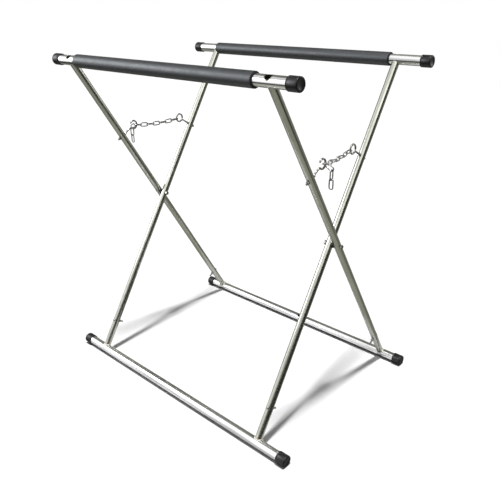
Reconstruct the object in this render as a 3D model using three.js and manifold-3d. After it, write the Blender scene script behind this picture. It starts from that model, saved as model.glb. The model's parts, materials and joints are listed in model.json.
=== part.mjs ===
// Folding sawhorse: two tubular steel frames crossed like scissors on a pair of pivot bolts.
// A foam sleeve pads each top rail, rubber caps close the rail ends, and a short chain on each
// side, from a closed eye on the inner frame to an open hook on the outer one, stops the legs
// from spreading further.
// Millimetres. X runs along the rails, Z is up, the origin is on the floor between the feet.

import * as THREE from "three";
import { mergeVertices } from "three/addons/utils/BufferGeometryUtils.js";
import Module from "manifold-3d";

// ---- driving dimensions ----
const GAP = 0.3; // clearance kept between touching pieces

const LEAN_DEG = 31.71; // each frame's angle from vertical when open
const LOWER_ARM = 519.7; // pivot to bottom rail axis, along the legs
const UPPER_ARM = 488.8; // pivot to top rail axis

const RAIL_LENGTH = 812.8;
const RAIL_RADIUS = 12.7;
const RAIL_WALL = 1.5;
const LEG_RADIUS = 9.525;
const LEG_WALL = 1.2;
const OUTER_LEG_X = 337.4; // leg axis from the middle plane, outer frame
const INNER_LEG_X = 314.2; // and inner frame

const CAP_RADIUS = 14.75;
const CAP_LENGTH = 26.3;
const CAP_END_WALL = 2;
const CAP_CHAMFER = 1.5;

const FOAM_RADIUS = 17;
const FOAM_LENGTH = 609.6;
const OUTER_FOAM_SHIFT = -4; // how far each sleeve sits off centre along its rail
const INNER_FOAM_SHIFT = -7;

const DRAIN_HOLE_RADIUS = 5; // in the outer frame's bottom rail, on the leg side
const DRAIN_HOLE_X = 26;

const PIVOT_RADIUS = 3;
const PIVOT_HEX = 10; // across flats
const PIVOT_HEAD = 4;
const PIVOT_NUT = 5;
const PIVOT_THREAD_PAST_NUT = 2;
const SPACER_RADIUS = 8;

const EYE_ARM = 228.8; // pivot to the hook or eye shaft, along the leg
const EYE_REACH = 49.5; // leg axis to ring centre
const EYE_RADIUS = 11.5; // ring radius, to the middle of the wire
const EYE_WIRE = 2.4;
const EYE_TAIL = 18; // threaded end beyond the leg axis
const HOOK_OPENING_DEG = 60; // part of the hook's ring that is left open
const EYE_NUT_HEX = 8;
const EYE_NUT = 4;

const FOOT_BOLT_ARM = 428.7; // pivot to the lower bolt, along the leg
const FOOT_BOLT_RADIUS = 2.5;
const FOOT_BOLT_HEX = 8;
const FOOT_BOLT_HEAD = 2.6;
const FOOT_BOLT_NUT = 4;
const FOOT_BOLT_TAIL = 25;

const LINK_WIRE = 1.5; // wire radius of a chain link
const LINK_BOW = 5; // bend radius, to the middle of the wire
const TAUT_LINKS = 7; // links from the eye to the hook
const TAUT_TILT = 0.108; // slope of the first link, in radians, from the chain's slight sag
const LOOSE_LEAN_DEG = 28; // the first spare link's angle below horizontal
const LOOSE_SEAT = 5; // from the hook's wire to the middle of that link
const LOOSE_CROSSING = 3.5; // from its bow's wire to the wire that it hangs on
const LOOSE_SETBACK = 4.2; // from there to the tip of the last taut link

// ---- worked out from them ----
const LEAN = THREE.MathUtils.degToRad(LEAN_DEG);
const LOOSE_LEAN = THREE.MathUtils.degToRad(LOOSE_LEAN_DEG);
const PIVOT_HEIGHT = CAP_RADIUS + LOWER_ARM * Math.cos(LEAN);
const CAP_BORE = RAIL_RADIUS + GAP;
const LINK_CROSSING = 2 * LINK_WIRE + GAP; // between the wires of two linked bows
const RING_SEAT = EYE_WIRE + GAP + LINK_WIRE; // from a ring's wire to the wire of a link on it
const SIDES = { left: -1, right: 1 };

const ROUND = 24; // facets around rails, caps and sleeves
const SLIM = 16; // around legs
const FINE = 12; // around bolts and bores

// ---- solids ----
const wasm = await Module();
wasm.setup();

// A closed geometry as a solid that can be joined and cut.
function solid(geometry) {
  const bare = geometry.clone();
  bare.deleteAttribute("normal");
  bare.deleteAttribute("uv");
  const merged = mergeVertices(bare);
  const vertProperties = merged.attributes.position.array;
  const triVerts = new Uint32Array(merged.index.array);
  return new wasm.Manifold(new wasm.Mesh({ numProp: 3, vertProperties, triVerts }));
}

// A solid back as a geometry.
function geometryOf(made) {
  const { vertProperties, triVerts } = made.getMesh();
  const geometry = new THREE.BufferGeometry();
  geometry.setAttribute("position", new THREE.BufferAttribute(new Float32Array(vertProperties), 3));
  geometry.setIndex(new THREE.BufferAttribute(new Uint32Array(triVerts), 1));
  geometry.computeVertexNormals();
  return geometry;
}

// The circumradius of a regular section whose flats lie at the given radius.
function overFlats(radius, sides) {
  return radius / Math.cos(Math.PI / sides);
}

// A rod centred on the origin, flats facing along the cross axes. It starts along Y.
function rod(radius, length, sides) {
  return new THREE.CylinderGeometry(radius, radius, length, sides, 1, false, Math.PI / sides);
}

function rodX(radius, length, sides) {
  return rod(radius, length, sides).rotateZ(-Math.PI / 2);
}

function rodZ(radius, length, sides) {
  return rod(radius, length, sides).rotateX(Math.PI / 2);
}

// A rod along Y from one end to the other.
function rodBetween(radius, from, to, sides) {
  return rod(radius, Math.abs(to - from), sides).translate(0, (from + to) / 2, 0);
}

// A hexagon bar along Y, sized across its flats.
function hexBetween(acrossFlats, from, to) {
  return rodBetween(overFlats(acrossFlats / 2, 6), from, to, 6);
}

// ---- materials ----
function material(color, roughness, metalness) {
  return new THREE.MeshStandardMaterial({ color, roughness, metalness });
}

const railSteel = material(0xd9dadb, 0.22, 1);
const legSteel = material(0x8d8a80, 0.35, 1);
const boltSteel = material(0xb9b7ae, 0.35, 1);
const chainSteel = material(0xc4c2ba, 0.3, 1);
const rubber = material(0x1b1b1c, 0.6, 0);
const foam = material(0x23272c, 0.9, 0);
const washerPlastic = material(0x151515, 0.7, 0);

// ---- frames ----
// Each frame is built in a leaning group: local Z runs up the legs, local Y towards the other
// frame's legs when facing is 1 and away from them when it is -1, and the pivot is the origin.
const outer = { name: "outer", facing: 1, legX: OUTER_LEG_X, foamShift: OUTER_FOAM_SHIFT };
const inner = { name: "inner", facing: -1, legX: INNER_LEG_X, foamShift: INNER_FOAM_SHIFT };
for (const frame of [outer, inner]) {
  frame.group = new THREE.Group();
  frame.group.position.z = PIVOT_HEIGHT;
  frame.group.rotation.x = frame.facing * LEAN;
}

// Turns a piece about the rail axis so that its flats lie level in the open frame.
function level(geometry, frame) {
  return geometry.rotateX(-frame.facing * LEAN);
}

function addTo(group, name, geometry, look) {
  const mesh = new THREE.Mesh(geometry, look);
  mesh.name = name;
  group.add(mesh);
  return mesh;
}

function legBores(frame) {
  const bore = solid(rodZ(LEG_RADIUS + GAP, 4 * RAIL_RADIUS, SLIM));
  const pair = Object.values(SIDES).map((side) => bore.translate(side * frame.legX, 0, 0));
  return pair[0].add(pair[1]);
}

function railTube(frame) {
  const skin = solid(level(rodX(RAIL_RADIUS, RAIL_LENGTH, ROUND), frame));
  const inside = rodX(RAIL_RADIUS - RAIL_WALL, RAIL_LENGTH + 2, ROUND);
  return skin.subtract(solid(level(inside, frame)));
}

// The legs pass right through the top rail and end flush with its upper side.
function addTopRail(frame) {
  const rail = railTube(frame).subtract(legBores(frame));
  const mesh = addTo(frame.group, `${frame.name}_top_rail`, geometryOf(rail), railSteel);
  mesh.position.z = UPPER_ARM;
}

function addBottomRail(frame) {
  let rail = railTube(frame);
  if (frame === outer) {
    const drain = rodZ(DRAIN_HOLE_RADIUS, RAIL_RADIUS, FINE);
    drain.translate(DRAIN_HOLE_X, 0, RAIL_RADIUS);
    rail = rail.subtract(solid(drain));
  }
  const mesh = addTo(frame.group, `${frame.name}_bottom_rail`, geometryOf(rail), railSteel);
  mesh.position.z = -LOWER_ARM;
}

// What has to go from a leg's top end so that it follows the top rail's round surface.
function aboveTopRail(frame) {
  const height = 3 * RAIL_RADIUS;
  const block = new THREE.BoxGeometry(height, height, height).translate(0, 0, height / 2);
  const round = level(rodX(RAIL_RADIUS, 2 * height, ROUND), frame);
  return solid(block).subtract(solid(round)).translate(0, 0, UPPER_ARM);
}

function addLeg(frame, sideName) {
  const bottom = -LOWER_ARM;
  const top = UPPER_ARM + RAIL_RADIUS;
  const middle = (bottom + top) / 2;
  const cope = level(rodX(RAIL_RADIUS + GAP, 4 * RAIL_RADIUS, ROUND), frame);
  const pivotBore = rodX(PIVOT_RADIUS + GAP, 4 * LEG_RADIUS, FINE);
  const eyeBore = rod(EYE_WIRE + GAP, 4 * LEG_RADIUS, FINE).translate(0, 0, EYE_ARM);
  const footBore = rod(FOOT_BOLT_RADIUS + GAP, 4 * LEG_RADIUS, FINE);
  footBore.translate(0, 0, -FOOT_BOLT_ARM);
  const leg = solid(rodZ(LEG_RADIUS, top - bottom, SLIM).translate(0, 0, middle))
    .subtract(solid(rodZ(LEG_RADIUS - LEG_WALL, top - bottom + 2, SLIM).translate(0, 0, middle)))
    .subtract(aboveTopRail(frame))
    .subtract(solid(cope.translate(0, 0, bottom)))
    .subtract(solid(pivotBore))
    .subtract(solid(eyeBore))
    .subtract(solid(footBore));
  const mesh = addTo(frame.group, `${frame.name}_leg_${sideName}`, geometryOf(leg), legSteel);
  mesh.position.x = SIDES[sideName] * frame.legX;
}

// A cup over the rail's end. Its profile is turned about Y, open end at 0.
function capGeometry() {
  const floor = CAP_LENGTH - CAP_END_WALL + GAP;
  const skin = overFlats(CAP_RADIUS, ROUND);
  const profile = [
    [0, floor],
    [CAP_BORE, floor],
    [CAP_BORE, 0],
    [skin, 0],
    [skin, CAP_LENGTH - CAP_CHAMFER],
    [skin - CAP_CHAMFER, CAP_LENGTH],
    [0, CAP_LENGTH],
  ].map(([radius, along]) => new THREE.Vector2(radius, along));
  return new THREE.LatheGeometry(profile, ROUND, Math.PI / ROUND);
}

function addCap(frame, railName, railZ, sideName) {
  const side = SIDES[sideName];
  const cup = capGeometry().rotateZ((-side * Math.PI) / 2);
  const shape = geometryOf(solid(level(cup, frame)));
  const mesh = addTo(frame.group, `${frame.name}_${railName}_cap_${sideName}`, shape, rubber);
  const openEnd = RAIL_LENGTH / 2 + CAP_END_WALL - CAP_LENGTH;
  mesh.position.set(side * openEnd, 0, railZ);
}

// The sleeve is notched where it runs over the end of a leg.
function addFoam(frame) {
  const skin = rodX(overFlats(FOAM_RADIUS, ROUND), FOAM_LENGTH, ROUND);
  const bore = rodX(RAIL_RADIUS + GAP, FOAM_LENGTH + 2, ROUND);
  const sleeve = solid(level(skin, frame))
    .subtract(solid(level(bore, frame)))
    .translate(frame.foamShift, 0, 0)
    .subtract(legBores(frame).translate(0, 0, -2 * RAIL_RADIUS));
  const mesh = addTo(frame.group, `${frame.name}_foam_sleeve`, geometryOf(sleeve), foam);
  mesh.position.z = UPPER_ARM;
}

for (const frame of [outer, inner]) {
  addTopRail(frame);
  addBottomRail(frame);
  addFoam(frame);
  for (const sideName of Object.keys(SIDES)) {
    addLeg(frame, sideName);
    addCap(frame, "top", UPPER_ARM, sideName);
    addCap(frame, "bottom", -LOWER_ARM, sideName);
  }
}

// ---- pivots ----
// Outward from the middle: nut, inner leg, spacer, outer leg, bolt head.
const pivots = new THREE.Group();
pivots.position.z = PIVOT_HEIGHT;

function addAlongX(name, made, side, look) {
  addTo(pivots, name, geometryOf(made).rotateZ((-side * Math.PI) / 2), look);
}

function addPivot(sideName) {
  const side = SIDES[sideName];
  const headFrom = OUTER_LEG_X + LEG_RADIUS + GAP;
  const nutTo = INNER_LEG_X - LEG_RADIUS - GAP;
  const nutFrom = nutTo - PIVOT_NUT;
  const tip = nutFrom - PIVOT_THREAD_PAST_NUT;
  const bore = solid(rodBetween(PIVOT_RADIUS + GAP, tip, headFrom, FINE));

  const head = hexBetween(PIVOT_HEX, headFrom, headFrom + PIVOT_HEAD);
  const shank = rodBetween(PIVOT_RADIUS, tip, headFrom + PIVOT_HEAD / 2, FINE);
  addAlongX(`pivot_bolt_${sideName}`, solid(head).add(solid(shank)), side, boltSteel);

  const spacerFrom = INNER_LEG_X + LEG_RADIUS + GAP;
  const spacerTo = OUTER_LEG_X - LEG_RADIUS - GAP;
  const spacer = solid(rodBetween(SPACER_RADIUS, spacerFrom, spacerTo, SLIM)).subtract(bore);
  addAlongX(`pivot_spacer_${sideName}`, spacer, side, washerPlastic);

  const nut = solid(hexBetween(PIVOT_HEX, nutFrom, nutTo)).subtract(bore);
  addAlongX(`pivot_nut_${sideName}`, nut, side, boltSteel);
}

// ---- hooks, eyes and lower bolts ----
// An arc in the YZ plane about the middle of a ring.
class RingArc extends THREE.Curve {
  constructor(from, to) {
    super();
    this.from = from;
    this.to = to;
  }

  getPoint(t, target = new THREE.Vector3()) {
    const angle = THREE.MathUtils.lerp(this.from, this.to, t);
    return target.set(0, EYE_REACH + EYE_RADIUS * Math.cos(angle), EYE_RADIUS * Math.sin(angle));
  }
}

function wireSection(radius, sides) {
  const corners = Array.from({ length: sides }, (_, i) => {
    const angle = (2 * Math.PI * i) / sides;
    return new THREE.Vector2(radius * Math.cos(angle), radius * Math.sin(angle));
  });
  return new THREE.Shape(corners);
}

function openRing() {
  const start = Math.PI;
  const end = start + 2 * Math.PI - THREE.MathUtils.degToRad(HOOK_OPENING_DEG);
  const extrudePath = new RingArc(start, end);
  return new THREE.ExtrudeGeometry(wireSection(EYE_WIRE, 8), { steps: 14, extrudePath });
}

function closedRing() {
  const ring = new THREE.TorusGeometry(EYE_RADIUS, EYE_WIRE, 8, 16);
  return ring.rotateY(Math.PI / 2).translate(0, EYE_REACH, 0);
}

// Shaft along Y through the leg, with the ring at its far end.
function shaftedRing(ring) {
  const shaftEnd = EYE_REACH - EYE_RADIUS;
  return solid(ring).add(solid(rodBetween(EYE_WIRE, -EYE_TAIL, shaftEnd, FINE)));
}

function hexNut(acrossFlats, boreRadius, from, to) {
  const bore = rodBetween(boreRadius, from - 1, to + 1, FINE);
  return solid(hexBetween(acrossFlats, from, to)).subtract(solid(bore));
}

// Adds a piece that crosses a leg. Its own Y points towards the other frame's hooks or eyes.
function addAcrossLeg(frame, name, made, sideName, arm) {
  const shape = geometryOf(made);
  if (frame === inner) shape.rotateZ(Math.PI);
  const mesh = addTo(frame.group, `${name}_${sideName}`, shape, boltSteel);
  mesh.position.set(SIDES[sideName] * frame.legX, 0, arm);
}

function addEye(frame, name, ring, sideName) {
  const nutFrom = LEG_RADIUS + GAP;
  const nutTo = nutFrom + EYE_NUT;
  const bore = EYE_WIRE + GAP;
  const nuts = {
    inner_nut: hexNut(EYE_NUT_HEX, bore, nutFrom, nutTo),
    outer_nut: hexNut(EYE_NUT_HEX, bore, -nutTo, -nutFrom),
  };
  addAcrossLeg(frame, name, shaftedRing(ring), sideName, EYE_ARM);
  for (const [nutName, nut] of Object.entries(nuts))
    addAcrossLeg(frame, `${name}_${nutName}`, nut, sideName, EYE_ARM);
}

// Low head outside, nut and thread end inside. The nut is one piece with the bolt here.
function addFootBolt(frame, sideName) {
  const seat = LEG_RADIUS + GAP;
  const head = rodBetween(FOOT_BOLT_HEX / 2, seat, seat + FOOT_BOLT_HEAD, FINE);
  const nut = hexBetween(FOOT_BOLT_HEX, -seat - FOOT_BOLT_NUT, -seat);
  const shank = rodBetween(FOOT_BOLT_RADIUS, -FOOT_BOLT_TAIL, seat + FOOT_BOLT_HEAD / 2, FINE);
  const bolt = solid(head).add(solid(nut)).add(solid(shank));
  addAcrossLeg(frame, `${frame.name}_foot_bolt`, bolt, sideName, -FOOT_BOLT_ARM);
}

for (const sideName of Object.keys(SIDES)) {
  addPivot(sideName);
  addEye(outer, "hook", openRing(), sideName);
  addEye(inner, "eye", closedRing(), sideName);
  addFootBolt(outer, sideName);
  addFootBolt(inner, sideName);
}

// ---- chains ----
const UP = new THREE.Vector3(0, 0, 1);
const ALONG_X = new THREE.Vector3(1, 0, 0);
const ALONG_Y = new THREE.Vector3(0, 1, 0);
const chains = new THREE.Group();

// The middle of a hook's or eye's ring in the open stand.
function ringCentre(frame, side) {
  const local = new THREE.Vector3(side * frame.legX, frame.facing * EYE_REACH, EYE_ARM);
  return local.applyAxisAngle(ALONG_X, frame.facing * LEAN).addScaledVector(UP, PIVOT_HEIGHT);
}

// A ring of wire pulled out to the given half length. Local X is its length, local Z its normal.
function linkGeometry(halfLength) {
  const segments = 16;
  const ring = new THREE.TorusGeometry(LINK_BOW, LINK_WIRE, 6, segments).rotateZ(Math.PI / segments);
  const position = ring.attributes.position;
  for (let i = 0; i < position.count; i++) {
    const stretch = Math.sign(position.getX(i)) * (halfLength - LINK_BOW);
    position.setX(i, position.getX(i) + stretch);
  }
  return ring;
}

function addLink(name, halfLength, centre, direction, normal) {
  const mesh = addTo(chains, name, geometryOf(solid(linkGeometry(halfLength))), chainSteel);
  const across = new THREE.Vector3().crossVectors(normal, direction);
  mesh.quaternion.setFromRotationMatrix(new THREE.Matrix4().makeBasis(direction, across, normal));
  mesh.position.copy(centre);
}

function addChain(sideName) {
  const side = SIDES[sideName];
  const eye = ringCentre(inner, side).addScaledVector(ALONG_Y, -EYE_RADIUS);
  const hook = ringCentre(outer, side).addScaledVector(ALONG_Y, EYE_RADIUS);
  const along = hook.clone().sub(eye).normalize();
  const outboard = new THREE.Vector3().crossVectors(UP, along).multiplyScalar(side);
  const tilts = Array.from({ length: TAUT_LINKS }, (_, i) => {
    return TAUT_TILT * (1 - (2 * i) / (TAUT_LINKS - 1));
  });

  // Links meet at points half a crossing inside their ends. At the hook the last taut link sits
  // deeper, because the first spare link lies between it and the hook.
  const depth = LOOSE_SEAT + LOOSE_SETBACK;
  const span = hook.distanceTo(eye) + RING_SEAT + depth - LINK_CROSSING;
  const pitch = span / tilts.reduce((sum, tilt) => sum + Math.cos(tilt), 0);
  const half = (pitch + LINK_CROSSING) / 2;
  const joint = eye.clone().addScaledVector(along, LINK_CROSSING / 2 - RING_SEAT);
  let number = 1;
  const add = (centre, direction, normal) => {
    addLink(`chain_${sideName}_link_${number}`, half, centre, direction, normal);
    number += 1;
  };

  // Taut run from the eye to the hook, every other link on edge.
  let centre;
  for (const tilt of tilts) {
    const direction = along.clone().multiplyScalar(Math.cos(tilt)).addScaledVector(UP, -Math.sin(tilt));
    const upright = UP.clone().multiplyScalar(Math.cos(tilt)).addScaledVector(along, Math.sin(tilt));
    const sideways = new THREE.Vector3().crossVectors(upright, direction);
    centre = joint.clone().addScaledVector(direction, pitch / 2);
    joint.addScaledVector(direction, pitch);
    add(centre, direction, number % 2 ? upright : sideways);
  }

  // The first spare link hangs out sideways from the last taut link's bow, inside the hook.
  const lastBow = centre.clone().addScaledVector(along, half - LINK_BOW);
  const back = LINK_BOW - LOOSE_SETBACK;
  const wire = lastBow
    .addScaledVector(along, back)
    .addScaledVector(outboard, Math.sqrt(LINK_BOW ** 2 - back ** 2));
  const outward = new THREE.Vector3(side * Math.cos(LOOSE_LEAN), 0, -Math.sin(LOOSE_LEAN));
  centre = wire.addScaledVector(outward, half - LOOSE_CROSSING);
  add(centre, outward, ALONG_Y);

  // Two more hang straight down from it.
  const down = UP.clone().negate();
  centre = centre
    .clone()
    .addScaledVector(outward, half - LINK_BOW)
    .addScaledVector(down, LINK_BOW - LINK_CROSSING + half);
  add(centre, down, ALONG_X);
  centre = centre.clone().addScaledVector(down, pitch);
  add(centre, down, ALONG_Y);
}

for (const sideName of Object.keys(SIDES)) addChain(sideName);

const sawhorse = new THREE.Group();
sawhorse.name = "folding_sawhorse";
sawhorse.add(outer.group, inner.group, pivots, chains);

export default sawhorse;
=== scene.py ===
# Folding sawhorse: detailed pieces, materials, floor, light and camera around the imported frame.
# Metres. X runs along the rails, Z is up, and the origin is on the floor between the feet.
import json
import math

import bpy
import numpy as np
from mathutils import Matrix, Vector, noise


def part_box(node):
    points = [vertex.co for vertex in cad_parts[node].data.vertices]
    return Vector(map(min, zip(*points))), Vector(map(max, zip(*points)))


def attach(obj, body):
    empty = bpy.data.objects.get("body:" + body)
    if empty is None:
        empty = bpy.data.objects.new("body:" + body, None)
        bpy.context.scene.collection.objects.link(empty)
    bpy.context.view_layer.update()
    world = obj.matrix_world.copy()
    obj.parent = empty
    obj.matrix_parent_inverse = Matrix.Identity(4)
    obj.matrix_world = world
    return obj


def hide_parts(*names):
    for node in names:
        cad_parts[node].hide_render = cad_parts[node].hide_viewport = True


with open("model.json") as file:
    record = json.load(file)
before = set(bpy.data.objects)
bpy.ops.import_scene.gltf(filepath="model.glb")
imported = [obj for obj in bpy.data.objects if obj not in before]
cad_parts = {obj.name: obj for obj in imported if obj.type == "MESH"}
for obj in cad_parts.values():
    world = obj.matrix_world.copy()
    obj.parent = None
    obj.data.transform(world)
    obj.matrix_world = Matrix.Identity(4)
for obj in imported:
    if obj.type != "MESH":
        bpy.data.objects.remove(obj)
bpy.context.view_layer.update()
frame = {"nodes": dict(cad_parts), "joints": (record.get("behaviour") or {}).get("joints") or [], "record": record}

MM = 0.001
SIDES = {"left": -1, "right": 1}
X_AXIS = Vector((1, 0, 0))
Z_AXIS = Vector((0, 0, 1))

# ---- sizes that the CAD boxes don't give ----
RAIL_RADIUS = 12.7 * MM
RAIL_WALL = 1.5 * MM
DRAIN_HOLE_RADIUS = 5 * MM
DRAIN_HOLE_X = 26 * MM
LEG_RADIUS = 9.525 * MM
LEG_WALL = 1.2 * MM
TUBE_EDGE = 0.3 * MM
CAP_RADIUS = 14.75 * MM
CAP_LENGTH = 26.3 * MM
FOAM_RADIUS = 17 * MM
CLEARANCE = 0.3 * MM

PIVOT_RADIUS = 3 * MM
PIVOT_HEX = 10 * MM
PIVOT_HEAD = 4 * MM
PIVOT_NUT = 5 * MM
PIVOT_PITCH = 1 * MM
SPACER_RADIUS = 8 * MM

EYE_REACH = 49.5 * MM
EYE_RADIUS = 11.5 * MM
EYE_WIRE = 2.4 * MM
EYE_NECK = 4 * MM
EYE_TAIL = 18 * MM
EYE_THREAD = 15.5 * MM
EYE_NUT_HEX = 8 * MM
EYE_NUT = 4 * MM
HOOK_LAST_DEG = 480
EYE_LAST_DEG = 523
SMALL_PITCH = 0.8 * MM

FOOT_BOLT_RADIUS = 2.5 * MM
FOOT_BOLT_TAIL = 25 * MM
FOOT_HEAD_RADIUS = 4 * MM
FOOT_HEAD_BRIM = 0.6 * MM
FOOT_HEAD_DOME = 2 * MM

LINK_BOW = 5 * MM
LINK_WIRE = 1.5 * MM

# ---- how many points go round a piece, and where its faces count as a sharp edge ----
RAIL_POINTS = 96
LEG_POINTS = 64
CAP_POINTS = 72
FOAM_POINTS = 72
HEX_POINTS = 60
SPACER_POINTS = 48
DOME_POINTS = 40
SHANK_POINTS = 28
WIRE_POINTS = 24
LINK_POINTS = 16
BEAD_POINTS = 10
TUBE_SHARP_DEG = 32
CAP_SHARP_DEG = 40
FOAM_SHARP_DEG = 50
WIRE_SHARP_DEG = 50
WELD_SHARP_DEG = 60


# ---- places read from the frame ----
def middle(node):
    low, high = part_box(node)
    return (low + high) / 2


def placement(origin, x, y, z):
    """A matrix that puts local axes x, y and z at an origin."""
    turned = Matrix((x, y, z)).transposed().to_4x4()
    turned.translation = origin
    return turned


class TubeFrame:
    """One of the two crossed frames: where its rails and legs lie in the open stand."""

    def __init__(self, name, facing):
        self.name = name
        self.body = f"{name}_frame"
        self.top = middle(f"{name}_top_rail")
        self.bottom = middle(f"{name}_bottom_rail")
        self.top.x = 0
        self.bottom.x = 0
        self.up = (self.top - self.bottom).normalized()
        self.inward = Vector((0, self.up.z, -self.up.y)) * facing
        self.across = self.inward.cross(self.up)
        self.length = (self.top - self.bottom).length
        self.leg_x = middle(f"{name}_leg_right").x

    def rail(self, end):
        """Local X along the rail, local Z up the legs."""
        y = self.up.cross(X_AXIS)
        return placement(self.top if end == "top" else self.bottom, X_AXIS, y, self.up)

    def leg(self, side, up_leg=0):
        """Local Z up the leg, from the bottom rail's axis. Local Y towards the other frame above the
        pivot, and so outwards at the feet."""
        origin = self.bottom + self.up * up_leg + X_AXIS * side * self.leg_x
        return placement(origin, self.across, self.inward, self.up)


OUTER = TubeFrame("outer", 1)
INNER = TubeFrame("inner", -1)
PIVOT = Vector(next(joint["pos_m"] for joint in frame["joints"] if joint["name"] == "fold"))


# ---- mesh building ----
def circle(radius, count, z=0):
    """Points round local Z. radius may be a function of the angle."""
    points = []
    for i in range(count):
        angle = 2 * math.pi * i / count
        out = radius(angle) if callable(radius) else radius
        points.append(Vector((out * math.cos(angle), out * math.sin(angle), z)))
    return points


def loft(rings, closed=False, shells=None):
    """Vertices and faces of a skin over a row of loops. closed joins the last loop to the first,
    and otherwise both ends get a flat cap. shells is an earlier result to add to."""
    points, faces = shells if shells else ([], [])
    start = len(points)
    count = len(rings[0])
    for ring in rings:
        points.extend(ring)
    rows = len(rings)
    for row in range(rows if closed else rows - 1):
        here = start + row * count
        there = start + (row + 1) % rows * count
        for i in range(count):
            j = (i + 1) % count
            faces.append((here + i, here + j, there + j, there + i))
    if not closed:
        faces.append(tuple(start + i for i in reversed(range(count))))
        faces.append(tuple(start + (rows - 1) * count + i for i in range(count)))
    return points, faces


def new_piece(name, shells, matrix, sharp_deg=TUBE_SHARP_DEG):
    """An object from loft results, smooth except where faces meet at more than sharp_deg."""
    mesh = bpy.data.meshes.new(name)
    mesh.from_pydata([tuple(p) for p in shells[0]], [], shells[1])
    mesh.validate()
    piece = bpy.data.objects.new(name, mesh)
    bpy.context.scene.collection.objects.link(piece)
    piece.matrix_world = matrix
    shade(piece, sharp_deg)
    return piece


def shade(piece, sharp_deg):
    piece.data.shade_smooth()
    piece.data.set_sharp_from_angle(angle=math.radians(sharp_deg))


def bake_modifiers(piece):
    """Replaces the piece's mesh with what its modifiers make of it."""
    bpy.context.view_layer.update()
    evaluated = piece.evaluated_get(bpy.context.evaluated_depsgraph_get())
    made = bpy.data.meshes.new_from_object(evaluated)
    piece.modifiers.clear()
    piece.data = made


def cut(piece, *cutters):
    """Cuts the cutters out of the piece and throws them away."""
    for cutter in cutters:
        modifier = piece.modifiers.new("cut", "BOOLEAN")
        modifier.operation = "DIFFERENCE"
        modifier.solver = "EXACT"
        modifier.object = cutter
    bake_modifiers(piece)
    for cutter in cutters:
        bpy.data.objects.remove(cutter)


def along_x(matrix, flip=1):
    """Turns a piece built round local Z so that it lies along the matrix's X."""
    return matrix @ Matrix.Rotation(flip * math.pi / 2, 4, "Y")


def along_y(matrix):
    """Turns a piece built round local Z so that it lies along the matrix's Y."""
    return matrix @ Matrix.Rotation(-math.pi / 2, 4, "X")


def finish(piece, body, material, node=None):
    """Gives a piece its material and body, and hides the CAD node that it stands for. The top rails with their
    caps and foam draw no shadow."""
    piece.visible_shadow = not (node and ("top" in node or "foam" in node))
    piece.data.materials.clear()
    piece.data.materials.append(material)
    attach(piece, body)
    if node:
        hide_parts(node)


# ---- materials ----
class NodeTree:
    """Short ways to add shader nodes to a tree and join them."""

    def __init__(self, tree):
        self.tree = tree

    def add(self, kind, **values):
        node = self.tree.nodes.new(kind)
        for key, value in values.items():
            setattr(node, key, value)
        return node

    def feed(self, value, socket):
        """Joins an output to a socket, or sets the socket to a number or a colour of three parts."""
        if isinstance(value, bpy.types.NodeSocket):
            self.tree.links.new(value, socket)
        elif isinstance(value, tuple):
            socket.default_value = (*value, 1)
        else:
            socket.default_value = value

    def axes(self, vector):
        """The X, Y and Z parts of a vector."""
        node = self.add("ShaderNodeSeparateXYZ")
        self.feed(vector, node.inputs["Vector"])
        return node.outputs

    def compute(self, operation, *values):
        """What one Math node makes of its values."""
        node = self.add("ShaderNodeMath", operation=operation)
        for value, socket in zip(values, node.inputs):
            self.feed(value, socket)
        return node.outputs["Value"]

    def span(self, value, low, high):
        """0 at low, 1 at high, eased between."""
        node = self.add("ShaderNodeMapRange", interpolation_type="SMOOTHSTEP")
        for amount, name in ((value, "Value"), (low, "From Min"), (high, "From Max")):
            self.feed(amount, node.inputs[name])
        return node.outputs["Result"]

    def mix(self, factor, a, b, blend="MIX"):
        """Colour a where the factor is 0 and b where it is 1."""
        node = self.add("ShaderNodeMix", data_type="RGBA", blend_type=blend)
        for value, index in ((factor, 0), (a, 6), (b, 7)):
            self.feed(value, node.inputs[index])
        return node.outputs[2]


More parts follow.
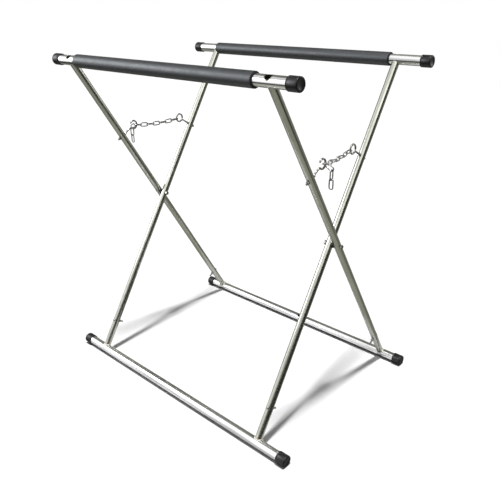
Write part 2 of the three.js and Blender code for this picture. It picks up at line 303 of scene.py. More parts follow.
class MaterialNodes(NodeTree):
    """Short ways to build one material."""

    def __init__(self, name):
        self.material = bpy.data.materials.new(name)
        self.material.use_nodes = True
        super().__init__(self.material.node_tree)
        self.shader = self.tree.nodes["Principled BSDF"]
        self.coordinates = self.add("ShaderNodeTexCoord").outputs
        self.place = self.coordinates["Object"]

    def noise(self, scale, detail, stretch=(1, 1, 1), roughness=0.5):
        """Soft noise in object coordinates, which stretch scales by a factor on each axis."""
        mapping = self.add("ShaderNodeMapping")
        mapping.inputs["Scale"].default_value = stretch
        self.feed(self.place, mapping.inputs["Vector"])
        node = self.add("ShaderNodeTexNoise")
        node.inputs["Scale"].default_value = scale
        node.inputs["Detail"].default_value = detail
        node.inputs["Roughness"].default_value = roughness
        self.feed(mapping.outputs["Vector"], node.inputs["Vector"])
        return node.outputs["Fac"]

    def cells(self, scale, feature):
        """The outputs of a cell pattern in object coordinates."""
        node = self.add("ShaderNodeTexVoronoi", feature=feature)
        node.inputs["Scale"].default_value = scale
        self.feed(self.place, node.inputs["Vector"])
        return node.outputs

    def ramp(self, factor, *stops):
        """stops are (position, colour or grey)."""
        node = self.add("ShaderNodeValToRGB")
        elements = node.color_ramp.elements
        while len(elements) < len(stops):
            elements.new(0.5)
        for element, (position, colour) in zip(elements, stops):
            element.position = position
            rgb = colour if isinstance(colour, tuple) else (colour,) * 3
            element.color = (*rgb, 1)
        self.feed(factor, node.inputs["Fac"])
        return node.outputs["Color"]

    def bump(self, height, distance, strength, below=None):
        """The normal that a height gives, on top of the bumps below."""
        node = self.add("ShaderNodeBump")
        node.inputs["Distance"].default_value = distance
        node.inputs["Strength"].default_value = strength
        self.feed(height, node.inputs["Height"])
        if below:
            self.feed(below, node.inputs["Normal"])
        return node.outputs["Normal"]

    def set(self, **sockets):
        """Feeds the shader's sockets, each named with _ for its spaces."""
        for key, value in sockets.items():
            self.feed(value, self.shader.inputs[key.replace("_", " ")])


def chrome_material():
    """Bright plated tube: faint lengthwise polishing lines, cloudy patches and fine specks."""
    look = MaterialNodes("rail_chrome")
    lines = look.noise(110, 3, (0.03, 1, 1))
    clouds = look.noise(26, 4)
    specks = look.noise(900, 2)
    tint = look.ramp(clouds, (0.3, (0.80, 0.80, 0.79)), (0.7, (0.90, 0.905, 0.91)))
    dull = look.ramp(lines, (0.35, 0.12), (0.7, 0.24))
    streaks = look.ramp(lines, (0.38, 0.45), (0.47, 0.95), (0.60, 1.0))
    look.set(Base_Color=look.mix(0.7, tint, streaks, "MULTIPLY"), Metallic=1.0, Roughness=dull)
    fine = look.bump(lines, 0.12 * MM, 0.25)
    look.set(Normal=look.bump(specks, 0.03 * MM, 0.2, fine))
    return look.material


def leg_material():
    """Zinc-plated tube: warm grey, drawn lines along the leg, cloudy patches and a pale straw heat
    tint next to the weld at the foot."""
    look = MaterialNodes("leg_steel")
    dark, warm, pale = (0.43, 0.44, 0.38), (0.56, 0.57, 0.51), (0.68, 0.69, 0.65)
    lines = look.noise(260, 4, (1, 1, 0.02))
    clouds = look.noise(18, 5, (1, 1, 0.35), 0.6)
    bloom = look.ramp(clouds, (0.3, dark), (0.55, warm), (0.8, pale))
    streaks = look.ramp(lines, (0.3, 0.72), (0.65, 1.0))
    plated = look.mix(0.6, bloom, streaks, "MULTIPLY")
    near_foot = look.span(look.axes(look.place)["Z"], 28 * MM, 14 * MM)
    straw = look.ramp(look.noise(150, 2), (0.35, (0.50, 0.47, 0.39)), (0.7, (0.64, 0.62, 0.56)))
    look.set(Base_Color=look.mix(near_foot, plated, straw), Metallic=1.0)
    look.set(Roughness=look.ramp(clouds, (0.3, 0.28), (0.75, 0.19)))
    look.set(Normal=look.bump(lines, 0.12 * MM, 0.3))
    return look.material


def zinc_material(name, light, dark, roughness):
    """Plated fasteners and wire: crystal mottling, small scratches and duller hollows."""
    look = MaterialNodes(name)
    crystals = look.cells(900, "F1")["Color"]
    mottle = look.ramp(crystals, (0.2, dark), (0.85, light))
    wear = look.noise(420, 5, roughness=0.65)
    worn = look.ramp(wear, (0.4, 0.0), (0.75, 0.5))
    look.set(Base_Color=look.mix(worn, mottle, dark), Metallic=1.0)
    look.set(Roughness=look.ramp(wear, (0.3, roughness * 0.7), (0.8, roughness * 1.4)))
    look.set(Normal=look.bump(wear, 0.1 * MM, 0.3))
    return look.material


def weld_material():
    """Weld bead: pale rough metal, a little duller and warmer in patches."""
    look = MaterialNodes("weld_metal")
    warm, grey, pale = (0.45, 0.43, 0.38), (0.66, 0.65, 0.62), (0.80, 0.80, 0.78)
    patches = look.noise(260, 4)
    colour = look.ramp(patches, (0.3, warm), (0.5, grey), (0.7, pale))
    look.set(Base_Color=colour, Metallic=0.8, Roughness=look.ramp(patches, (0.3, 0.6), (0.8, 0.4)))
    look.set(Normal=look.bump(look.noise(1500, 3), 0.3 * MM, 0.6))
    return look.material


def rubber_material():
    """Moulded black rubber: pebbled skin, dusty scuffs and a soft shine."""
    look = MaterialNodes("rubber")
    pebble = look.noise(1600, 2)
    scuffs = look.noise(60, 6, (1, 1, 2.5), 0.7)
    colour = look.ramp(scuffs, (0.45, (0.005, 0.005, 0.0055)), (0.8, (0.017, 0.017, 0.018)))
    look.set(Base_Color=colour, Roughness=look.ramp(scuffs, (0.4, 0.32), (0.8, 0.5)))
    look.set(Specular_IOR_Level=0.35, Normal=look.bump(pebble, 0.2 * MM, 0.35))
    return look.material


def foam_material():
    """Closed-cell foam: a matte blue-grey skin of tiny cells with soft lighter scuffing, and black
    open cells on its ends, which are told by how far they face along the sleeve."""
    look = MaterialNodes("foam")
    cells = look.cells(1100, "SMOOTH_F1")["Distance"]
    drift = look.noise(35, 5, (0.5, 1, 1), 0.6)
    grain = look.noise(700, 3)
    skin = look.ramp(drift, (0.3, (0.009, 0.010, 0.012)), (0.75, (0.015, 0.0165, 0.0195)))
    scuffed = look.mix(look.ramp(grain, (0.45, 0.0), (0.8, 0.35)), skin, (0.034, 0.037, 0.042))
    facing = look.compute("ABSOLUTE", look.axes(look.coordinates["Normal"])["Z"])
    cut_end = look.span(facing, 0.1, 0.45)
    dull = look.ramp(drift, (0.3, 0.40), (0.8, 0.52))
    look.set(Base_Color=look.mix(cut_end, scuffed, (0.003, 0.003, 0.0035)))
    look.set(Roughness=look.mix(cut_end, dull, (0.95, 0.95, 0.95)))
    look.set(Specular_IOR_Level=0.8, Specular_Tint=(0.94, 0.97, 1.0))
    soft = look.bump(grain, 0.3 * MM, 0.3)
    look.set(Normal=look.bump(cells, 0.4 * MM, 0.45, soft))
    return look.material


def washer_material():
    """Black moulded washer with faint turning marks."""
    look = MaterialNodes("washer")
    marks = look.noise(500, 3)
    look.set(Base_Color=look.ramp(marks, (0.3, (0.01, 0.01, 0.011)), (0.8, (0.03, 0.03, 0.031))))
    look.set(Roughness=look.ramp(marks, (0.3, 0.4), (0.8, 0.6)), Normal=look.bump(marks, 0.1 * MM, 0.3))
    return look.material


CHROME = chrome_material()
LEG_STEEL = leg_material()
FASTENER = zinc_material("fastener_steel", (0.48, 0.475, 0.46), (0.22, 0.215, 0.20), 0.3)
CHAIN = zinc_material("chain_steel", (0.46, 0.46, 0.45), (0.20, 0.20, 0.195), 0.26)
WELD = weld_material()
RUBBER = rubber_material()
FOAM = foam_material()
WASHER = washer_material()


# ---- rails, legs and welds ----
def cylinder_cutter(radius, low, high, matrix):
    rings = [circle(radius, LEG_POINTS, z) for z in (low, high)]
    return new_piece("cutter", loft(rings), matrix)


def rail_blank(name, matrix, length):
    """A hollow tube along local X with slightly rounded ends."""
    inner = RAIL_RADIUS - RAIL_WALL
    half = length / 2
    profile = [(inner, -half), (RAIL_RADIUS - TUBE_EDGE, -half), (RAIL_RADIUS, -half + TUBE_EDGE)]
    profile += [(RAIL_RADIUS, half - TUBE_EDGE), (RAIL_RADIUS - TUBE_EDGE, half), (inner, half)]
    rings = [circle(radius, RAIL_POINTS, z) for radius, z in profile]
    piece = new_piece(name, loft(rings, closed=True), matrix)
    piece.data.transform(Matrix.Rotation(math.pi / 2, 4, "Y"))
    return piece


def make_rail(tubes, end):
    """A top rail with a hole through it for each leg, or a bottom rail. The outer bottom rail has
    a drain hole in its upper side."""
    node = f"{tubes.name}_{end}_rail"
    low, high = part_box(node)
    matrix = tubes.rail(end)
    piece = rail_blank(f"{node}_tube", matrix, high.x - low.x)
    if end == "top":
        bore = LEG_RADIUS + 0.15 * MM
        reach = 2 * RAIL_RADIUS
        places = [matrix @ Matrix.Translation((side * tubes.leg_x, 0, 0)) for side in SIDES.values()]
        cut(piece, *[cylinder_cutter(bore, -reach, reach, place) for place in places])
    elif tubes is OUTER:
        inside = 2 * MM
        hole = matrix @ Matrix.Translation((DRAIN_HOLE_X, 0, 0))
        cut(piece, cylinder_cutter(DRAIN_HOLE_RADIUS, inside, 2 * RAIL_RADIUS, hole))
    shade(piece, TUBE_SHARP_DEG)
    finish(piece, tubes.body, CHROME, node)


def leg_loop(radius, rail_z, rail_radius, count=LEG_POINTS):
    """A loop round a leg's axis on the upper side of a rail of the given radius."""
    loop = []
    for point in circle(radius, count):
        rise = math.sqrt(max(rail_radius**2 - point.y**2, 0))
        loop.append(Vector((point.x, point.y, rail_z + rise)))
    return loop


def make_leg(tubes, side_name):
    """A hollow leg, coped to the bottom rail and cut flush with the top rail's upper side."""
    node = f"{tubes.name}_leg_{side_name}"
    inner = LEG_RADIUS - LEG_WALL
    seat = RAIL_RADIUS + 0.1 * MM
    lift = Vector((0, 0, TUBE_EDGE))
    straight = (30 * MM, tubes.length - 20 * MM)
    rings = [leg_loop(inner, 0, seat), leg_loop(LEG_RADIUS - TUBE_EDGE, 0, seat)]
    rings += [[point + lift for point in leg_loop(LEG_RADIUS, 0, seat)]]
    rings += [circle(LEG_RADIUS, LEG_POINTS, z) for z in straight]
    rings += [leg_loop(LEG_RADIUS, tubes.length, RAIL_RADIUS - TUBE_EDGE)]
    rings += [leg_loop(LEG_RADIUS - TUBE_EDGE, tubes.length, RAIL_RADIUS)]
    rings += [leg_loop(inner + TUBE_EDGE, tubes.length, RAIL_RADIUS)]
    rings += [leg_loop(inner, tubes.length, RAIL_RADIUS - TUBE_EDGE)]
    rings += [circle(inner, LEG_POINTS, z) for z in reversed(straight)]
    matrix = tubes.leg(SIDES[side_name])
    piece = new_piece(f"{node}_tube", loft(rings, closed=True), matrix)
    finish(piece, tubes.body, LEG_STEEL, node)


def make_weld(tubes, side_name):
    """A rippled bead round the foot of a leg."""
    ripples = 26
    count = 6 * ripples
    proud = 0.4 * MM
    flattened = 0.8
    path = leg_loop(LEG_RADIUS + proud, 0, RAIL_RADIUS + proud, count)
    rings = []
    for i, point in enumerate(path):
        around = (path[(i + 1) % count] - path[i - 1]).normalized()
        out = Vector((point.x, point.y, 0)).normalized()
        rise = around.cross(out).normalized()
        ripple = abs(math.sin(math.pi * ripples * i / count))
        size = (1.25 + 0.4 * ripple + 0.25 * noise.noise(point * 300)) * MM
        spokes = circle(size, BEAD_POINTS)
        rings.append([point + out * spoke.x + rise * spoke.y * flattened for spoke in spokes])
    matrix = tubes.leg(SIDES[side_name])
    piece = new_piece(f"{tubes.name}_weld_{side_name}", loft(rings, closed=True), matrix, WELD_SHARP_DEG)
    finish(piece, tubes.body, WELD)


# ---- caps and foam ----
def rounded(radius, corner, start, steps):
    """A quarter turn of profile round a corner centre, from the start angle in degrees."""
    points = []
    for i in range(steps + 1):
        angle = math.radians(start + 90 * i / steps)
        out = corner[0] + radius * math.cos(angle)
        points.append((out, corner[1] + radius * math.sin(angle)))
    return points


def cap_profile():
    """Radius and depth from the open end: the bore, the rolled lip, a shallow groove, the rounded
    rim and a shallow dish in the end face."""
    axis = 0.0001 * MM
    bore = RAIL_RADIUS + 0.05 * MM
    bore_floor = CAP_LENGTH - 2 * MM
    lip = 0.7 * MM
    groove = 3.2 * MM
    groove_half = 0.5 * MM
    rim = 2.4 * MM
    dip = 0.25 * MM
    profile = [(axis, bore_floor), (bore, bore_floor), (bore, 0.3 * MM)]
    profile += rounded(lip, (CAP_RADIUS - lip, lip), -90, 4)
    profile += [(CAP_RADIUS, groove - groove_half), (CAP_RADIUS - dip, groove)]
    profile += [(CAP_RADIUS, groove + groove_half)]
    profile += rounded(rim, (CAP_RADIUS - rim, CAP_LENGTH - rim), 0, 8)
    profile += [(9 * MM, CAP_LENGTH), (8.6 * MM, CAP_LENGTH - dip), (axis, CAP_LENGTH - dip)]
    return profile


def make_cap(tubes, end, side_name):
    """A moulded cup over one end of a rail."""
    side = SIDES[side_name]
    node = f"{tubes.name}_{end}_cap_{side_name}"
    low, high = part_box(node)
    open_end = high.x if side < 0 else low.x
    rings = [circle(radius, CAP_POINTS, z) for radius, z in cap_profile()]
    place = tubes.rail(end) @ Matrix.Translation((open_end, 0, 0))
    piece = new_piece(f"{node}_moulding", loft(rings), along_x(place, side), CAP_SHARP_DEG)
    finish(piece, tubes.body, RUBBER, node)


def foam_radius(z, shrink):
    """The foam's gently wavy radius at one place along it, as a function of the angle."""
    def radius(angle):
        broad = Vector((math.cos(angle) * 1.2, math.sin(angle) * 1.2, z * 16))
        fine = Vector((math.cos(angle) * 5, math.sin(angle) * 5, z * 90))
        wave = 0.12 * noise.noise(broad) + 0.04 * noise.noise(fine)
        return FOAM_RADIUS - 0.3 * MM + wave * MM - shrink

    return radius


def foam_stations(length):
    """Places along the foam, each with how much smaller it is there: rounded off at both ends."""
    edge = 2.4 * MM
    steps = 190
    turns = [math.radians(15 * i) for i in range(7)]
    start = [(edge * (1 - math.cos(turn)), edge * (1 - math.sin(turn))) for turn in turns]
    plain = [(edge + (length - 2 * edge) * i / steps, 0) for i in range(1, steps)]
    end = [(length - z, shrink) for z, shrink in reversed(start)]
    return start + plain + end


def make_foam(tubes):
    """A foam tube over the top rail, cut out underneath where it reaches a leg."""
    node = f"{tubes.name}_foam_sleeve"
    low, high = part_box(node)
    length = high.x - low.x
    bore = RAIL_RADIUS + 0.1 * MM
    rings = [circle(bore, FOAM_POINTS, 0)]
    rings += [circle(foam_radius(z, shrink), FOAM_POINTS, z) for z, shrink in foam_stations(length)]
    rings += [circle(bore, FOAM_POINTS, length)]
    matrix = along_x(tubes.rail("top") @ Matrix.Translation((low.x, 0, 0)))
    piece = new_piece(f"{node}_padding", loft(rings, closed=True), matrix, FOAM_SHARP_DEG)
    if low.x < -tubes.leg_x + LEG_RADIUS:
        leg = tubes.rail("top") @ Matrix.Translation((-tubes.leg_x, 0, 0))
        cut(piece, cylinder_cutter(LEG_RADIUS + CLEARANCE, -3 * RAIL_RADIUS, 0, leg))
        shade(piece, FOAM_SHARP_DEG)
    finish(piece, tubes.body, FOAM, node)


# ---- fasteners ----
def thread_rings(radius, pitch, low, high):
    """Loops of a screw thread that fades out over its first and last turn."""
    loops_a_turn = 7
    steps = max(2, round((high - low) / pitch * loops_a_turn))
    depth = 0.5 * pitch
    least = 0.15
    rings = []
    for i in range(steps + 1):
        z = low + (high - low) * i / steps
        ease = min(1, (z - low) / pitch + least, (high - z) / pitch + least)

        def thread(angle, z=z, ease=ease):
            phase = (z / pitch - angle / (2 * math.pi)) % 1
            return radius - depth * ease * abs(2 * phase - 1)

        rings.append(circle(thread, SHANK_POINTS, z))
    return rings


def screw(radius, pitch, head, thread_from, tip, shells):
    """A shank down local Z from the head: plain, then threaded from thread_from to a tapered tip."""
    plain = [circle(radius, SHANK_POINTS, z) for z in (head, thread_from + 0.01 * MM)]
    thread = thread_rings(radius, pitch, tip, thread_from)
    taper = circle(radius * 0.72, SHANK_POINTS, tip - 0.25 * MM)
    return loft([*plain, *reversed(thread), taper], shells=shells)


def hex_radius(across_flats):
    """A hexagon's radius as a function of the angle."""
    def radius(angle):
        sixth = math.pi / 3
        return across_flats / 2 / math.cos((angle + sixth / 2) % sixth - sixth / 2)

    return radius


def hex_rings(across_flats, low, high, chamfer_low=True):
    """Loops of a hexagon with its corners turned off at the upper end, and at the lower end too
    unless chamfer_low is False."""
    flat = across_flats / 2
    full = hex_radius(across_flats)
    slope = 0.6
    face = flat * 0.97
    step = 0.02 * MM

    def outline(z, drop):
        points = circle(full, HEX_POINTS, z)
        return [p + Vector((0, 0, drop * (p.xy.length - flat) * slope)) for p in points]

    rings = [circle(face, HEX_POINTS, low)] if chamfer_low else []
    rings.append(outline(low + step, 1 if chamfer_low else 0))
    rings.append(outline(high - step, -1))
    rings.append(circle(face, HEX_POINTS, high))
    return rings


def nut_shell(across_flats, bore, low, high):
    """A chamfered nut with a countersunk bore."""
    sink = 0.35 * MM
    rings = hex_rings(across_flats, low, high)
    bore_profile = [(bore + sink, high), (bore, high - sink), (bore, low + sink), (bore + sink, low)]
    rings += [circle(radius, HEX_POINTS, z) for radius, z in bore_profile]
    return loft(rings, closed=True)


def pivot_bolt_shells(nut_from):
    """A flanged hexagon head outside the outer leg and a shank through to the nut."""
    seat = OUTER.leg_x + LEG_RADIUS + CLEARANCE
    flange = 0.5 * MM
    thread_from = INNER.leg_x - 4 * MM
    tip = nut_from - 1.7 * MM
    shells = loft(hex_rings(PIVOT_HEX, seat + flange, seat + PIVOT_HEAD, chamfer_low=False))
    washer = [circle(PIVOT_HEX * 0.52, HEX_POINTS, z) for z in (seat, seat + flange)]
    shells = loft(washer, shells=shells)
    return screw(PIVOT_RADIUS, PIVOT_PITCH, seat + MM, thread_from, tip, shells)


def pivot_spacer_shells():
    """A thick washer with rounded edges that fills the space between the legs."""
    low = INNER.leg_x + LEG_RADIUS + CLEARANCE
    high = OUTER.leg_x - LEG_RADIUS - CLEARANCE
    soft = 0.5 * MM
    bore = PIVOT_RADIUS + 0.1 * MM
    profile = [(bore, low), (SPACER_RADIUS - soft, low), (SPACER_RADIUS, low + soft)]
    profile += [(SPACER_RADIUS, high - soft), (SPACER_RADIUS - soft, high), (bore, high)]
    return loft([circle(radius, SPACER_POINTS, z) for radius, z in profile], closed=True)


def make_pivot(side_name):
    """The bolt, nut and spacer on which the legs of one side turn. Local Z points outwards."""
    matrix = along_x(Matrix.Translation(PIVOT), SIDES[side_name])
    nut_to = INNER.leg_x - LEG_RADIUS - CLEARANCE
    nut_from = nut_to - PIVOT_NUT
    nut = nut_shell(PIVOT_HEX, PIVOT_RADIUS, nut_from, nut_to)
    for kind, shells, material, slot in (
        ("bolt", pivot_bolt_shells(nut_from), FASTENER, "fastener_steel"),
        ("nut", nut, FASTENER, "fastener_steel"),
        ("spacer", pivot_spacer_shells(), WASHER, "spacer"),
    ):
        node = f"pivot_{kind}_{side_name}"
        piece = new_piece(f"{node}_detail", shells, matrix)
        finish(piece, OUTER.body, material, node)


def arc(centre, radius, start_deg, end_deg, steps):
    """Points in the local YZ plane, angles from +Y towards +Z."""
    points = []
    for i in range(steps + 1):
        angle = math.radians(start_deg + (end_deg - start_deg) * i / steps)
        points.append(centre + Vector((0, math.cos(angle), math.sin(angle))) * radius)
    return points


def swept(path, wire):
    """A round wire along a path in the YZ plane, with rounded-off ends."""
    rings = []
    last = len(path) - 1
    for i, point in enumerate(path):
        tangent = (path[min(i + 1, last)] - path[max(i - 1, 0)]).normalized()
        side = tangent.cross(X_AXIS)
        ring = [point + X_AXIS * p.x + side * p.y for p in circle(wire, WIRE_POINTS)]
        rings.append(ring)
        if i in (0, last):
            outward = tangent if i else -tangent
            tip = point + outward * wire * 0.3
            small = [tip + (p - point) * 0.75 for p in ring]
            rings.insert(len(rings) if i else 0, small)
    return loft(rings)


def ring_path(last_deg):
    """The wire from the shaft, round a tight neck, into the ring at a little over 180 degrees and
    on to the last angle, which is counted on past 360."""
    centre = Vector((0, EYE_REACH, 0))
    run = math.sqrt((EYE_RADIUS + EYE_NECK) ** 2 - EYE_NECK**2)
    neck = Vector((0, EYE_REACH - run, -EYE_NECK))
    turn = math.degrees(math.atan2(EYE_NECK, run))
    path = [Vector((0, EYE_THREAD, 0)), Vector((0, (EYE_THREAD + neck.y) / 2, 0))]
    path += arc(neck, EYE_NECK, 90, turn, 8)
    path += arc(centre, EYE_RADIUS, 180 + turn, last_deg, 56)[1:]
    return path


def make_hook_or_eye(tubes, kind, last_deg, side_name):
    """A screw hook or eye through a leg, with a nut on each side of the tube."""
    node = f"{kind}_{side_name}"
    matrix = tubes.leg(SIDES[side_name], leg_height(node, tubes))
    thread_from = -EYE_TAIL + 0.3 * MM
    overlap = 0.5 * MM
    lying = []
    for ring in thread_rings(EYE_WIRE, SMALL_PITCH, thread_from, EYE_THREAD + overlap):
        lying.append([Vector((p.x, p.z, -p.y)) for p in ring])
    shells = loft(lying, shells=swept(ring_path(last_deg), EYE_WIRE))
    wire = new_piece(f"{node}_wire", shells, matrix, WIRE_SHARP_DEG)
    finish(wire, tubes.body, FASTENER, node)
    seat = LEG_RADIUS + CLEARANCE
    for place, low in (("inner", seat), ("outer", -seat - EYE_NUT)):
        nut_node = f"{kind}_{place}_nut_{side_name}"
        shells = nut_shell(EYE_NUT_HEX, EYE_WIRE, low, low + EYE_NUT)
        nut = new_piece(f"{nut_node}_detail", shells, along_y(matrix))
        finish(nut, tubes.body, FASTENER, nut_node)


def leg_height(node, tubes):
    """How far up the leg a crossing piece's axis lies, from its box."""
    low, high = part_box(node)
    return ((low + high) / 2 - tubes.bottom).dot(tubes.up)


def make_foot_bolt(tubes, side_name):
    """A low domed head on the outside of the leg, and a nut and the thread's end on the inside."""
    node = f"{tubes.name}_foot_bolt_{side_name}"
    matrix = along_y(tubes.leg(SIDES[side_name], leg_height(node, tubes)))
    seat = LEG_RADIUS + CLEARANCE
    head = [circle(FOOT_HEAD_RADIUS, DOME_POINTS, seat)]
    for i in range(8):
        angle = math.radians(88 * i / 7)
        z = seat + FOOT_HEAD_BRIM + FOOT_HEAD_DOME * math.sin(angle)
        head.append(circle(FOOT_HEAD_RADIUS * math.cos(angle), DOME_POINTS, z))
    shells = loft(hex_rings(EYE_NUT_HEX, -seat - EYE_NUT, -seat), shells=loft(head))
    tip = -FOOT_BOLT_TAIL + 0.3 * MM
    shells = screw(FOOT_BOLT_RADIUS, SMALL_PITCH, seat + MM, -seat, tip, shells)
    bolt = new_piece(f"{node}_detail", shells, matrix)
    finish(bolt, tubes.body, FASTENER, node)


# ---- chains ----
def link_placement(node):
    """A link's middle, half length and axes, from how its CAD points are spread."""
    points = np.array([vertex.co for vertex in frame["nodes"][node].data.vertices])
    centre = (points.min(0) + points.max(0)) / 2
    spread = points - points.mean(0)
    axes = np.linalg.eigh(spread.T @ spread)[1]
    normal, long_axis = Vector(axes[:, 0]), Vector(axes[:, 2])
    along = spread @ np.array(long_axis)
    half = (along.max() - along.min()) / 2 - LINK_WIRE
    return placement(Vector(centre), long_axis, normal.cross(long_axis), normal), half


def link_path(straight):
    """The middle of a link's wire: a bow at each end and a straight on each side, with the way out
    of the oval and how thick the wire is. The butt weld swells the middle of one side."""
    bow_steps = 14
    weld_swell = 1.14
    path = []
    for end in (1, -1):
        for i in range(bow_steps + 1):
            angle = math.radians(-90 + 180 * i / bow_steps)
            bow = Vector((math.cos(angle), math.sin(angle), 0)) * LINK_BOW * end
            path.append((bow + Vector((straight * end, 0, 0)), bow.normalized(), 1.0))
        for x in (0.6, 0.25, 0.08, -0.08, -0.25, -0.6):
            swell = weld_swell if end < 0 and abs(x) < 0.1 else 1.0
            place = Vector((x * straight * end, LINK_BOW * end, 0))
            path.append((place, Vector((0, end, 0)), swell))
    return path


def link_shell(half):
    """A wire bent to a slim oval and butt welded."""
    section = circle(LINK_WIRE, LINK_POINTS)
    rings = []
    for place, out, swell in link_path(half - LINK_BOW):
        rings.append([place + out * p.x * swell + Z_AXIS * p.y * swell for p in section])
    return loft(rings, closed=True)


def make_link(node, body):
    matrix, half = link_placement(node)
    piece = new_piece(f"{node}_wire", link_shell(half), matrix, WIRE_SHARP_DEG)
    finish(piece, body, CHAIN, node)


# ---- the whole stand ----
for tubes in (OUTER, INNER):
    make_foam(tubes)
    for end in ("top", "bottom"):
        make_rail(tubes, end)
        for side_name in SIDES:
            make_cap(tubes, end, side_name)
    for side_name in SIDES:
        make_leg(tubes, side_name)
        make_weld(tubes, side_name)
        make_foot_bolt(tubes, side_name)

for side_name in SIDES:
    make_pivot(side_name)
    make_hook_or_eye(OUTER, "hook", HOOK_LAST_DEG, side_name)
    make_hook_or_eye(INNER, "eye", EYE_LAST_DEG, side_name)

for body, members in frame["record"]["behaviour"]["bodies"].items():
    for node in members:
        if node.startswith("chain_"):
            make_link(node, body)


# ---- floor, light and camera ----
def stage_sheet(name, low, high, z, grey):
    """A flat sheet that is not part of the stand: the floor, and the strips of painted reflection and painted
    shadow under the bottom rails.
    """
    corners = [(low[0], low[1], z), (high[0], low[1], z), (high[0], high[1], z), (low[0], high[1], z)]
    mesh = bpy.data.meshes.new(name)
    mesh.from_pydata(corners, [], [(0, 1, 2, 3)])
    sheet = bpy.data.objects.new(name, mesh)
    bpy.context.scene.collection.objects.link(sheet)
    look = MaterialNodes(name)
    colour = look.ramp(look.noise(3, 2), (0.3, grey * 0.98), (0.7, grey))
    look.set(Base_Color=colour, Roughness=0.9)
    mesh.materials.append(look.material)
    return sheet


def make_reflected_strip(tubes, name, half_width, z, grey):
    """A strip under a bottom rail that only reflections see: a grey one is a painted reflection of the floor, a
    dark one a painted shadow.
    """
    low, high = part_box(f"{tubes.name}_bottom_rail")
    near = (low.x, tubes.bottom.y - half_width)
    far = (high.x, tubes.bottom.y + half_width)
    strip = stage_sheet(f"{tubes.name}_{name}", near, far, z, grey)
    strip.visible_camera = False
    strip.visible_diffuse = False
    strip.visible_shadow = False


def make_floor():
    """A plain pale floor that reflections miss. Under each bottom rail they see a wide grey strip instead, a
    painted reflection of the floor, with a narrow dark one just above its middle, a painted shadow under the rail."""
    reach = 6
    floor = stage_sheet("floor", (-reach, -reach), (reach, reach), 0, 0.95)
    floor.visible_glossy = False
    for tubes in (OUTER, INNER):
        # painted reflection: a grey strip that the bottom rail's reflections see in place of the floor
        make_reflected_strip(tubes, "paper", 120 * MM, 0.1 * MM, 0.6)
        # painted shadow: a dark strip that reflections see under each bottom rail, where the floor lies in its
        # shade
        make_reflected_strip(tubes, "shade", 18 * MM, 0.2 * MM, 0.01)
    return floor


def reflected_room(room):
    """What reflections see in each direction. The upper part is white, and brightest to the right.
    It reaches down past the horizon at the front left, ends above it on the right and is left only
    overhead at the rear. The lower part is dark in front, grey underfoot and grey at the rear."""
    white, brightest = (1.15, 1.15, 1.15), (2.0, 2.0, 1.95)
    dark, underfoot, rear_grey = (0.04, 0.042, 0.036), (0.42, 0.43, 0.37), (0.25, 0.255, 0.225)
    edge_width = 0.14
    x, y, z = room.axes(room.add("ShaderNodeTexCoord").outputs["Generated"])
    rightwards = room.compute("MULTIPLY_ADD", y, -0.35, room.compute("MULTIPLY", x, 0.9))
    right_edge = room.compute("MULTIPLY_ADD", room.span(rightwards, -0.35, 0.6), 0.68, -0.33)
    edge = room.compute("MULTIPLY_ADD", room.span(y, -0.2, 0.05), 1.25, right_edge)
    upper = room.span(z, edge, room.compute("ADD", edge, edge_width))
    rearwards = room.compute("MULTIPLY_ADD", x, -0.35, y)
    front_low = room.mix(room.span(z, -0.5, -0.68), dark, underfoot)
    low = room.mix(room.span(rearwards, 0.1, 0.5), front_low, rear_grey)
    high = room.mix(room.span(x, 0.1, 0.5), white, brightest)
    return room.mix(upper, low, high)


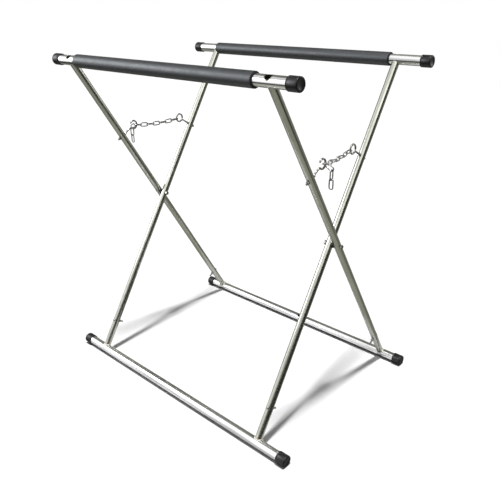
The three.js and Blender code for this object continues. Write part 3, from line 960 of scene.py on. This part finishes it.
def make_world():
    """A white room to the eye, with a darker one for reflections and an even soft light."""
    world = bpy.data.worlds.new("studio")
    bpy.context.scene.world = world
    world.use_nodes = True
    room = NodeTree(world.node_tree)
    ray = room.add("ShaderNodeLightPath").outputs
    ambient = (0.19, 0.19, 0.19)
    white = (1.0, 1.0, 1.0)
    unseen = room.mix(ray["Is Glossy Ray"], ambient, reflected_room(room))
    seen = room.mix(ray["Is Camera Ray"], unseen, white)
    room.feed(seen, room.tree.nodes["Background"].inputs["Color"])


def add_lamp(name, data, place, aim):
    """A lamp at a place, pointing at another."""
    lamp = bpy.data.objects.new(name, data)
    bpy.context.scene.collection.objects.link(lamp)
    lamp.location = place
    lamp.rotation_euler = (Vector(aim) - Vector(place)).to_track_quat("-Z", "Y").to_euler()
    return lamp


def make_overhead_light():
    """A small source almost overhead, which draws the shadows."""
    overhead = bpy.data.lights.new("overhead", "SUN")
    overhead.energy = 3.1
    overhead.angle = math.radians(5.5)
    add_lamp("overhead", overhead, (0.12, -0.15, 2), (0, 0, 0))


def make_softboxes(floor):
    """A large source in front and a weaker one behind, which light the stand but not the floor."""
    not_lit = bpy.data.collections.new("not_lit_by_softboxes")
    not_lit.objects.link(floor)
    not_lit.collection_objects[0].light_linking.link_state = "EXCLUDE"
    aim = (0, 0, 0.6)
    for name, watts, place in (("front", 32, (-1.8, -1.5, 1.65)), ("rear", 12, (1.1, 2.2, 1.5))):
        softbox = bpy.data.lights.new(f"{name}_softbox", "AREA")
        softbox.size = 1.2
        softbox.energy = watts
        softbox.color = (0.94, 0.97, 1.0)
        lamp = add_lamp(f"{name}_softbox", softbox, place, aim)
        lamp.light_linking.receiver_collection = not_lit


def make_camera():
    """The view: its place, heading, tilt and lens."""
    data = bpy.data.cameras.new("camera")
    data.sensor_width = 36
    data.lens = 41.19
    data.shift_x = 0.005
    data.shift_y = -0.0157
    camera = bpy.data.objects.new("camera", data)
    bpy.context.scene.collection.objects.link(camera)
    place = Matrix.Translation((1.0424, -1.0931, 1.0122))
    heading, tilt, roll = math.radians(42.552), math.radians(22.941), math.radians(-0.594)
    turn = Matrix.Rotation(heading, 4, "Z") @ Matrix.Rotation(math.pi / 2 - tilt, 4, "X")
    camera.matrix_world = place @ turn @ Matrix.Rotation(roll, 4, "Z")
    bpy.context.scene.camera = camera
    bpy.context.scene.view_settings.view_transform = "Standard"


floor = make_floor()
make_world()
make_overhead_light()
make_softboxes(floor)
make_camera()
